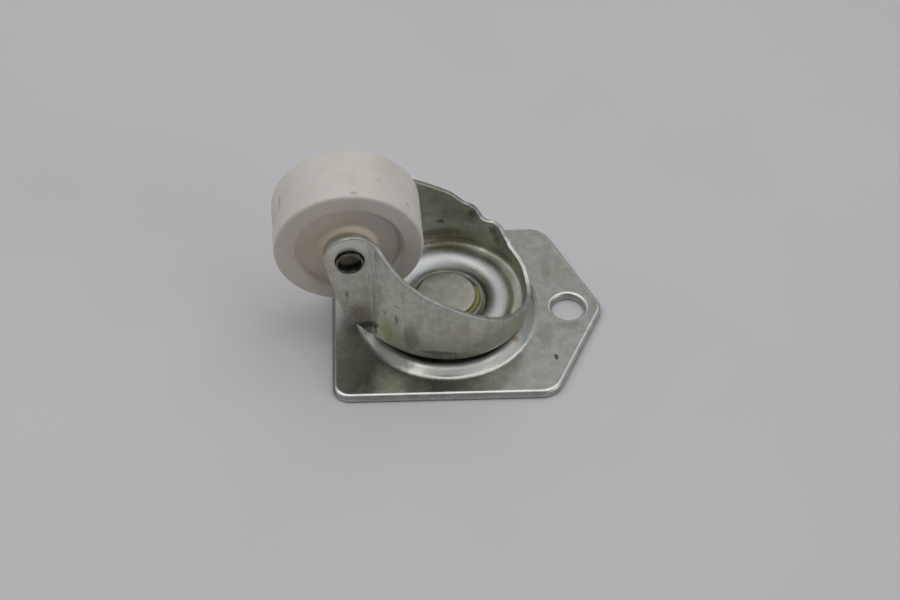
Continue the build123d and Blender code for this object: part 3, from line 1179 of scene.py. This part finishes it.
    def raise_walls(self, skin: bpy.types.Object) -> None:
        """Draw the ears backwards from the cup, then give rim and lower edge their heights.

        Args:
            skin: The skin of the cup.
        """
        foot = self.floor_z + self.fold_r
        path = self.cup_path()
        with editing(skin, Pick.EDGES):
            columns = [(p, foot) for p in path]
            for side, here in ((1, path[0]), (-1, path[-1])):
                for x, y in self.ear_path():
                    choose(skin, self.in_column(here), Pick.EDGES)
                    there = (x, side * y)
                    extrude(there[0] - here[0], there[1] - here[1], 0)
                    columns.append((there, height_along(self.lower_edge, x)))
                    here = there
            tops = []
            for place, low in columns:
                top = self.rim_height(*place) - self.top_row
                self.set_column(skin, place, low, top)
                tops.append(Vector((*place, top)))

            def on_rim(p: Vector) -> bool:
                """Whether a place is the top of one of the rows."""
                return any((p.xy - top.xy).length < TINY and abs(p.z - top.z) < TINY for top in tops)

            select_parts(skin, Pick.EDGES, lambda e: e.is_boundary and all(map(on_rim, corners(e))))
            extrude(0, 0, self.top_row)

    def press_dents(self, skin: bpy.types.Object) -> None:
        """Push the far wall in and out where the press has puckered it.

        Args:
            skin: The skin with its full walls.
        """
        with editing(skin):
            for degrees, height, reach, depth in self.dents:
                turn = math.radians(degrees)
                out = Vector((math.cos(turn), math.sin(turn), 0))
                spot = Vector((self.cup_x, 0, height)) + out * self.front_r
                choose(skin, lambda p: (p - spot).length < self.dent_core)
                bpy.ops.transform.translate(
                    value=out * depth * MM,
                    use_proportional_edit=True,
                    proportional_edit_falloff="SMOOTH",
                    proportional_size=reach * MM,
                )

    def raceway(self) -> bpy.types.Object:
        """The hub floor and the rib over the balls, as an open skin.

        Returns:
            The skin, from the pin's hole to the raceway's foot.
        """
        rise_in = math.degrees(math.asin((self.hub_z - self.rib_z) / self.rib_r))
        rise_out = math.degrees(math.asin((self.floor_z - self.rib_z) / self.rib_r))
        crown = arc((self.pitch_r, self.rib_z), self.rib_r, 180 - rise_in, rise_out, 22)
        rows = [(self.hole_r, self.hub_z)] + crown + [(self.race_r, self.floor_z)]
        points = [(r, 0, z) for r, z in rows]
        return lathe("raceway", points, [([points[1], points[-2]], self.rib_blend, 4)], 160)

    def close_floor(self, skin: bpy.types.Object) -> bpy.types.Object:
        """Join cup and raceway with the flat ledge between them.

        Args:
            skin: The skin of cup and ears.

        Returns:
            The whole skin, its faces turned away from the cup's room.
        """
        skin = join(skin, self.raceway())
        fill_level(skin, self.floor_z)
        tidy_shell(skin)
        with editing(skin, Pick.FACES):
            mesh = bmesh.from_edit_mesh(skin.data)
            floor = max(mesh.faces, key=lambda f: f.normal.z * f.calc_area())
            if floor.normal.z > 0.9:
                bpy.ops.mesh.flip_normals()
        return skin

    def axle_seat(self, side: int, hollow: bool) -> bpy.types.Object:
        """A turned body for the ear's dimple: its boss inside, or its hollow outside.

        Args:
            side: 1 for the far ear and -1 for the near one.
            hollow: Whether the hollow is made, and not the boss.

        Returns:
            The closed body.
        """
        outer = self.ear_y + self.sheet
        deep = outer - self.dimple_depth
        past = outer + self.tool_past
        wide = self.dimple_r + self.dimple_wall
        mouth = self.dimple_r + self.mouth_flare
        if hollow:
            rows = [(0, past), (mouth, past), (mouth, outer + self.mouth_rise)]
            rows += [(self.dimple_r - self.lip_in, outer - self.lip_fall)]
            rows += [(self.dimple_r - self.dimple_draft, deep), (self.axle_hole_r, deep)]
            rows += [(self.axle_hole_r, deep - self.tool_deep), (0, deep - self.tool_deep)]
        else:
            inner = self.ear_y - self.dimple_depth
            bite = self.ear_y + self.boss_bite
            rows = [(0, bite), (wide, bite), (wide, self.ear_y)]
            rows += [(wide - self.dimple_wall / 2, inner), (0, inner)]
        return lathe("axle_seat", about_axle([(r, side * y) for r, y in rows]), [], 72, AXLE, ACROSS)

    def build(self) -> bpy.types.Object:
        """Model the fork.

        Returns:
            The finished piece.
        """
        fork = self.sheet_of_cup()
        self.raise_walls(fork)
        self.press_dents(fork)
        fork = self.close_floor(fork)
        for _ in range(2):
            fork.data.materials.append(None)
        apply_modifier(
            fork,
            "SOLIDIFY",
            thickness=self.sheet * MM,
            offset=1.0,
            use_even_offset=True,
            material_offset_rim=1,
        )
        apply_modifier(
            fork,
            "BEVEL",
            width=self.edge_r * MM,
            segments=3,
            limit_method="ANGLE",
            angle_limit=math.radians(60),
            use_clamp_overlap=False,
        )
        for side in (1, -1):
            carve(fork, self.axle_seat(side, False), "UNION")
            carve(fork, self.axle_seat(side, True), "DIFFERENCE")
        smooth(fork, 35)
        turn_with_fork(fork)
        return fork


@dataclass
class HollowAxle:
    """Tubular rivet whose ends are flared in the ears' dimples."""

    outer_r: float = 2.5
    bore_r: float = 2.1
    lip_r: float = 2.85
    flare_y: float = 8.99
    lip_y: float = 10.96
    ear_y: float = 9.96
    bore_end: float = 0.4
    flare: float = 0.3
    round_r: float = 0.2

    def build(self) -> bpy.types.Object:
        """Model the axle.

        Returns:
            The finished piece.
        """
        end = [
            (self.bore_r, self.ear_y - self.bore_end),
            (self.bore_r + self.flare, self.lip_y),
            (self.lip_r, self.lip_y),
            (self.lip_r, self.flare_y + self.flare),
            (self.outer_r, self.flare_y),
        ]
        rows = [(r, -y) for r, y in end] + end[::-1] + [(end[0][0], -end[0][1])]
        lips = about_axle([(r, sign * y) for sign in (-1, 1) for r, y in end[1:3]])
        axle = lathe("axle_dressed", about_axle(rows), [(lips, self.round_r, 4)], 64, AXLE, ACROSS)
        smooth(axle, 50)
        turn_with_fork(axle)
        return axle


@dataclass
class GreasePlug:
    """Old grease that closes the hollow axle a little way in from its near end."""

    bore_r: float = 2.12
    front_y: float = -9.2
    length: float = 1.2
    dish: float = 0.25
    flat_share: float = 0.6
    round_r: float = 0.4

    def build(self) -> bpy.types.Object:
        """Model the plug.

        Returns:
            The finished piece.
        """
        back = self.front_y + self.length
        rows = [(0, self.front_y + self.dish)]
        rows += [(self.bore_r * self.flat_share, self.front_y + self.dish * self.flat_share)]
        rows += [(self.bore_r, self.front_y), (self.bore_r, back), (0, back)]
        points = about_axle(rows)
        plug = lathe("grease_plug", points, [(points[1:2], self.round_r, 3)], 40, AXLE, ACROSS)
        smooth(plug, 50)
        turn_with_fork(plug)
        return plug


@dataclass(frozen=True)
class SoftBox:
    """A square soft light that hangs over the table and faces the castor.

    Its place is given by the angle from straight up, the direction in plan counted from +X
    towards +Y, its side in metres and how bright its face is.
    """

    name: str
    lean: float
    turn: float
    side: float
    bright: float
    away: float = 1.2

    def hang(self) -> None:
        """Add the light to the scene."""
        lean, turn = math.radians(self.lean), math.radians(self.turn)
        place = Vector((math.sin(lean) * math.cos(turn), math.sin(lean) * math.sin(turn), math.cos(lean)))
        lamp = bpy.data.lights.new(self.name, "AREA")
        lamp.size = self.side
        lamp.energy = self.bright * math.pi * self.side**2
        light = bpy.data.objects.new(self.name, lamp)
        bpy.context.scene.collection.objects.link(light)
        light.location = place * self.away
        light.rotation_euler = place.to_track_quat("Z", "Y").to_euler()


def ring(name: str, lean: float, side: float, levels: dict[int, float]) -> list[SoftBox]:
    """Soft lights of one size in a ring, with the brightness for each direction in plan."""
    return [SoftBox(f"{name}_{turn}", lean, turn, side, bright) for turn, bright in levels.items()]


# Three levels of brightness serve every soft light in the room.
STRONG = 2.0
MILD = 1.5
FAINT = 0.5

SOFT_BOXES = [
    SoftBox("top", 0.1, 0, 0.5, STRONG),
    *ring("upper", 26, 0.5, {30: MILD, 90: FAINT, 150: MILD, 210: STRONG, 330: MILD}),
    *ring("middle", 50, 0.62, {0: FAINT, 45: FAINT, 90: FAINT, 135: FAINT, 180: MILD}),
    *ring("low", 74, 0.55, {330: STRONG}),
]


# The tabletop's side and its drop below the plate, which keeps the two faces apart, in metres.
TABLE_SIDE = 6.0
TABLE_DROP = 0.00002
# How brightly the room glows between the soft lights.
ROOM_GLOW = 0.05


def set_stage() -> None:
    """Add the tabletop, the soft lights and the dim surroundings."""
    deselect()
    bpy.ops.mesh.primitive_plane_add(size=TABLE_SIDE, location=(0, 0, -TABLE_DROP))
    floor = bpy.context.object
    floor.name = "tabletop"
    dress(floor, Tabletop("pale_laminate").make())
    world = bpy.data.worlds.new("studio")
    world.use_nodes = True
    background = world.node_tree.nodes["Background"]
    background.inputs[0].default_value = linear("#B9BABD")
    background.inputs[1].default_value = ROOM_GLOW
    bpy.context.scene.world = world
    for box in SOFT_BOXES:
        box.hang()


@dataclass(frozen=True)
class Viewpoint:
    """Where the camera stands and what it looks at; angles in degrees, lengths in millimetres."""

    azimuth: float = -2.89
    elevation: float = 48.61
    roll: float = 0.82
    distance: float = 449.6
    target: Point = (0.98, 4.40, 0)
    sensor: float = 36.0
    lens: float = 82.47
    nearest: float = 10.0

    def take(self) -> None:
        """Add the camera and make it the scene's own."""
        azimuth, elevation, roll = map(math.radians, (self.azimuth, self.elevation, self.roll))
        out = math.cos(elevation)
        back = Vector((math.sin(azimuth) * out, -math.cos(azimuth) * out, math.sin(elevation)))
        right = (-back).cross(Vector(UPWARDS)).normalized()
        up = right.cross(-back)
        right, up = right * math.cos(roll) + up * math.sin(roll), up * math.cos(roll) - right * math.sin(roll)
        data = bpy.data.cameras.new("camera")
        data.sensor_width = self.sensor
        data.lens = self.lens
        data.clip_start = self.nearest * MM
        camera = bpy.data.objects.new("camera", data)
        bpy.context.scene.collection.objects.link(camera)
        place = Vector(self.target) * MM + back * (self.distance * MM)
        turned = Matrix((right, up, back)).transposed().to_4x4()
        camera.matrix_world = Matrix.Translation(place) @ turned
        bpy.context.scene.camera = camera
        bpy.context.scene.view_settings.view_transform = "Standard"


def plate_finish() -> ZincPlating:
    """The plate's zinc, with its stains and the soft zones that stand in for reflections and shade.

    Returns:
        The plate's finish.
    """
    return ZincPlating(
        "zinc_plate",
        light="#B9BCB6",
        dark="#AAADA5",
        roughness=0.25,
        wave=0.008,
        specks=0.04,
        marks=(
            # not wear: three light zones and a dark one that stand in for reflections in the dome
            Mark((3.5, -17.8, 3.1), (11.0, 4.0, 1.1), "#CBCDCA", 1.0, 0.2, 0.15),
            Mark((14.0, -11.5, 3.1), (6.5, 6.5, 1.1), "#D2D4D1", 1.0, 0.2, 0.15),
            Mark((17.3, -3.0, 2.9), (4.0, 10.0, 1.6), "#BFC1BE", 1.0, 0.3, 0.15),
            Mark((-12.5, -13.5, 2.9), (8.0, 8.0, 1.5), "#666863", 0.85, 0.15, 0.2),
            # not wear: a band that stands in for the fork's shade
            Mark((0.0, -10.0, 3.85), (40.0, 12.0, 0.95), "#84857F", 0.75, 0.1, 0.1),
            # a dark spot, smudges round the fixing hole and a rusty fleck on the dome
            Mark((22.8, -14.1, 2.0), (0.55, 0.95, 1.0), "#34342E", 0.85),
            Mark((20.8, -8.0, 2.0), (2.2, 4.5, 2.0), "#93897B", 0.35),
            Mark((26.4, -4.9, 2.0), (3.4, 1.8, 2.0), "#8C8474", 0.35),
            Mark((22.2, 11.0, 2.0), (1.3, 5.0, 2.0), "#8F8A7A", 0.35),
            Mark((14.4, -9.8, 3.2), (1.3, 0.8, 1.0), "#9A7C55", 0.6),
            # not wear: dim zones that stand in for reflections in the flat
            Mark((-20.5, -12.0, 2.0), (6.0, 15.0, 2.0), "#8E8F78", 0.12, 0.0, 0.15),
            Mark((-18.5, -18.0, 2.0), (6.5, 7.0, 1.0), "#84857B", 0.35, 0.0, 0.15),
            Mark((-5.5, -21.2, 2.0), (7.5, 4.0, 1.0), "#7E8077", 0.45, 0.0, 0.15),
        ),
    )


def fork_finish() -> ZincPlating:
    """The fork's zinc, greener than the plate's, with stains and with painted highlights and painted shade
    that stand in for reflections and shade.

    Returns:
        The fork's finish.
    """
    return ZincPlating(
        "zinc_fork",
        light="#CDCEC4",
        dark="#BBBDB1",
        tint="#AFAB92",
        tint_share=0.4,
        roughness=0.40,
        specks=0.12,
        streak=0.2,
        drawn=Mark((-15.6, -11.3, 20.4), (2.6, 2.6, 15.0), "#7C7D72", 0.8),
        marks=(
            # the wall's darker foot is painted shade with some dirt; painted highlights on the rib's crown
            # and inside;
            # painted shade on the ledge's right part and, with some dirt, on the far fold in two parts; a
            # painted highlight on the near ear's top
            Mark((0.0, 0.0, 9.2), (45.0, 45.0, 4.8), "#A7A896", 0.5, 0.04, 0.1),
            Mark((0.0, 0.0, 7.6), (19.0, 19.0, 1.5), "#DADEE2", 0.9, 0.08, 0.15),
            Mark((-3.5, 4.5, 6.2), (12.5, 12.5, 3.0), "#F6F8FA", 1.0, 0.2, 0.1),
            Mark((13.8, 3.0, 6.0), (2.0, 7.5, 1.8), "#8C8E86", 0.3, 0.08, 0.2),
            Mark((3.5, 15.4, 6.4), (9.5, 2.6, 1.6), "#7D7C6F", 0.55, 0.1, 0.2),
            Mark((11.5, 11.0, 6.4), (4.5, 4.5, 1.6), "#7D7C6F", 0.55, 0.1, 0.2),
            Mark((-20.5, -10.9, 33.5), (5.5, 1.5, 4.5), "#E6E7E0", 0.6, 0.0, 0.2),
            # stains and scrapes on the near ear, and over its foot a dark band that is painted shade with
            # some grime
            Mark((-21.0, -11.0, 19.8), (0.5, 1.5, 1.5), "#5F5D5A", 0.55),
            Mark((-18.7, -10.9, 14.0), (3.2, 2.5, 3.4), "#857061", 0.5),
            Mark((-17.2, -11.2, 10.2), (3.4, 2.2, 1.6), "#3C3A32", 0.75),
            # grease and scrapes on the near bend and wall, and a dark band low along the wall's front
            Mark((-12.8, -13.2, 11.6), (2.0, 3.0, 5.0), "#A8A980", 0.6),
            Mark((-8.0, -15.9, 11.6), (2.2, 2.6, 5.5), "#70726B", 0.55, 0.05, 0.35),
            Mark((-11.0, -14.4, 15.5), (0.5, 0.9, 1.9), "#4A4B43", 0.5),
            Mark((-10.8, -14.5, 19.7), (1.1, 0.9, 0.4), "#64625F", 0.45),
            Mark((-13.3, -12.8, 16.0), (0.6, 0.9, 0.9), "#55544D", 0.4),
            Mark((5.9, -16.8, 9.7), (2.2, 1.0, 0.7), "#A8926E", 0.45, 0.1, 1.0),
            Mark((2.5, -17.5, 7.7), (2.8, 1.3, 0.7), "#A89A68", 0.5, 0.1, 0.8),
            Mark((3.1, -17.4, 15.0), (2.2, 1.0, 2.0), "#AF987E", 0.35),
            Mark((-2.2, -17.4, 8.0), (5.5, 1.8, 1.0), "#4C4E45", 0.6),
            # painted shade in the hollows of three dents in the far wall, then old oil and dirt inside the
            # far wall
            Mark((6.2, 15.9, 15.6), (1.4, 1.8, 1.7), "#33362A", 0.45),
            Mark((10.4, 13.6, 12.3), (1.3, 1.6, 1.6), "#33362A", 0.45),
            Mark((11.4, 12.4, 10.2), (1.2, 1.4, 1.3), "#33362A", 0.4),
            Mark((-0.8, 16.5, 12.3), (1.3, 1.0, 0.7), "#33352A", 0.6),
            Mark((3.5, 16.3, 14.2), (5.0, 2.0, 3.4), "#7C7E63", 0.3),
            Mark((-1.0, 16.3, 9.0), (8.0, 2.0, 1.4), "#84745A", 0.55),
            Mark((-1.5, 15.3, 5.8), (7.0, 1.4, 0.9), "#75694C", 0.5),
            # partly grime and partly a stand-in for shade, round the axle's end
            Mark((-20.2, -10.95, 29.96), (3.5, 1.0, 3.5), "#24221C", 0.95, 0.2, 0.15),
        ),
    )


def edge_finish() -> ZincPlating:
    """Zinc on sheared edges: rougher, with zones along the plate's edge.

    Returns:
        The finish of sheared edges.
    """
    return ZincPlating(
        "zinc_sheared",
        light="#D2D4D1",
        dark="#BCBEBB",
        tint="#A9A899",
        tint_share=0.3,
        roughness=0.48,
        wave=0.02,
        grain=0.006,
        specks=0.2,
        marks=(
            # not wear: a light top, a dim line, a dim foot and a dim left end stand in for reflections
            Mark((0.0, 0.0, 2.05), (400.0, 400.0, 0.6), "#F4F5F4", 0.55, -0.1, 0.1),
            Mark((0.0, 0.0, 1.15), (400.0, 400.0, 0.34), "#75766F", 0.4, 0.1, 0.1),
            Mark((0.0, 0.0, 0.0), (400.0, 400.0, 0.7), "#7A7B75", 0.5, 0.1, 0.1),
            Mark((-24.6, 0.0, 1.5), (1.3, 60.0, 3.0), "#83847D", 0.8, 0.1, 0.1),
        ),
    )


def main() -> None:
    """Build every piece in order and report each one."""
    logging.basicConfig(level=logging.INFO, format="%(message)s", force=True)
    Viewpoint().take()
    set_stage()
    plate_zinc = plate_finish().make()
    fork_zinc = fork_finish().make()
    edge_zinc = edge_finish().make()
    pin_zinc = ZincPlating(
        "zinc_pin",
        "#C9CAC2",
        "#B2B3A8",
        "#9F9C88",
        tint_share=0.5,
        roughness=0.44,
        wave=0.02,
        grain=0.004,
        specks=0.5,
    ).make()
    # darker than the other zinc: partly grime and partly painted shade on the washer, which sits low in the
    # cup
    washer_zinc = ZincPlating(
        "zinc_washer", "#9A9C93", "#82847B", "#7E7D68", tint_share=0.5, roughness=0.55
    ).make()
    axle_zinc = ZincPlating(
        "zinc_axle",
        "#787571",
        "#595651",
        "#5C5A45",
        tint_share=0.6,
        roughness=0.36,
        # not wear: stands in for light on the greasy lip
        marks=(Mark((-20.2, -9.7, 29.96), (2.25, 1.15, 2.25), "#B4B286", 1.0, 0.2, 0.1),),
    ).make()
    nylon = MouldedNylon(
        "white_nylon",
        marks=(
            # not wear: warm zones that stand in for shade on the near face, for light on the web, and for
            # shade on the far face
            Mark((-20.35, -8.4, 29.96), (17.5, 2.7, 17.5), "#DACCB4", 0.7, 0.05, 0.2),
            Mark((-23.0, -6.7, 29.96), (11.5, 1.1, 12.5), "#EEE2CE", 0.8, 0.05, 0.2),
            Mark((-21.0, 5.9, 29.96), (17.5, 2.2, 17.5), "#D5C6AC", 0.75, 0.05, 0.2),
            # scuffs on the tread
            Mark((-19.0, -6.6, 45.2), (1.2, 0.6, 0.8), "#857A6C", 0.4, 0.1, 1.0),
            Mark((-34.1, -1.2, 37.3), (1.0, 2.6, 0.4), "#8E7F6C", 0.45, 0.1, 0.8),
            Mark((-8.2, -4.3, 39.0), (0.8, 0.6, 0.8), "#8E8376", 0.45, 0.1, 1.0),
            Mark((-14.0, -1.8, 43.8), (0.9, 0.7, 0.8), "#9A8F82", 0.25, 0.1, 1.0),
        ),
    ).make()
    grease = BearingGrease("bearing_grease").make()
    old_grease = BearingGrease("old_grease", "#7F7B58", "#5F5C40").make()
    # the nodes that no piece replaces, which are the race's balls, under a film of grease
    ball_steel = ZincPlating(
        "greased_steel", "#A9A79E", "#86847A", "#7A7445", tint_share=0.6, roughness=0.3
    ).make()
    orders = (
        (MountingPlate(), plate_zinc, "plate", "plate_zinc", ["mounting_plate"]),
        (KingPin(), pin_zinc, "plate", "pin_zinc", ["king_pin"]),
        (CupWasher(), washer_zinc, "plate", "washer_zinc", ["cup_washer"]),
        (GreaseBead(), grease, "plate", "washer_zinc", []),
        (SwivelFork(), fork_zinc, "fork", "fork_zinc", ["fork"]),
        (HollowAxle(), axle_zinc, "fork", "axle_zinc", ["axle"]),
        (GreasePlug(), old_grease, "fork", "axle_zinc", []),
        (Wheel(), nylon, "wheel", "wheel_nylon", ["wheel"]),
    )
    for maker, material, body, slot, nodes in orders:
        piece = maker.build()
        has_edge = len(piece.data.materials) > 1
        dress(piece, *([material, edge_zinc] if has_edge else [material]))
        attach(piece, body)
        if nodes:
            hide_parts(*nodes)
        log.info("%s: %d faces, rides on %s", piece.name, len(piece.data.polygons), body)
    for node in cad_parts.values():
        if not node.hide_render:
            dress(node, ball_steel)


if __name__ == "__main__":
    main()
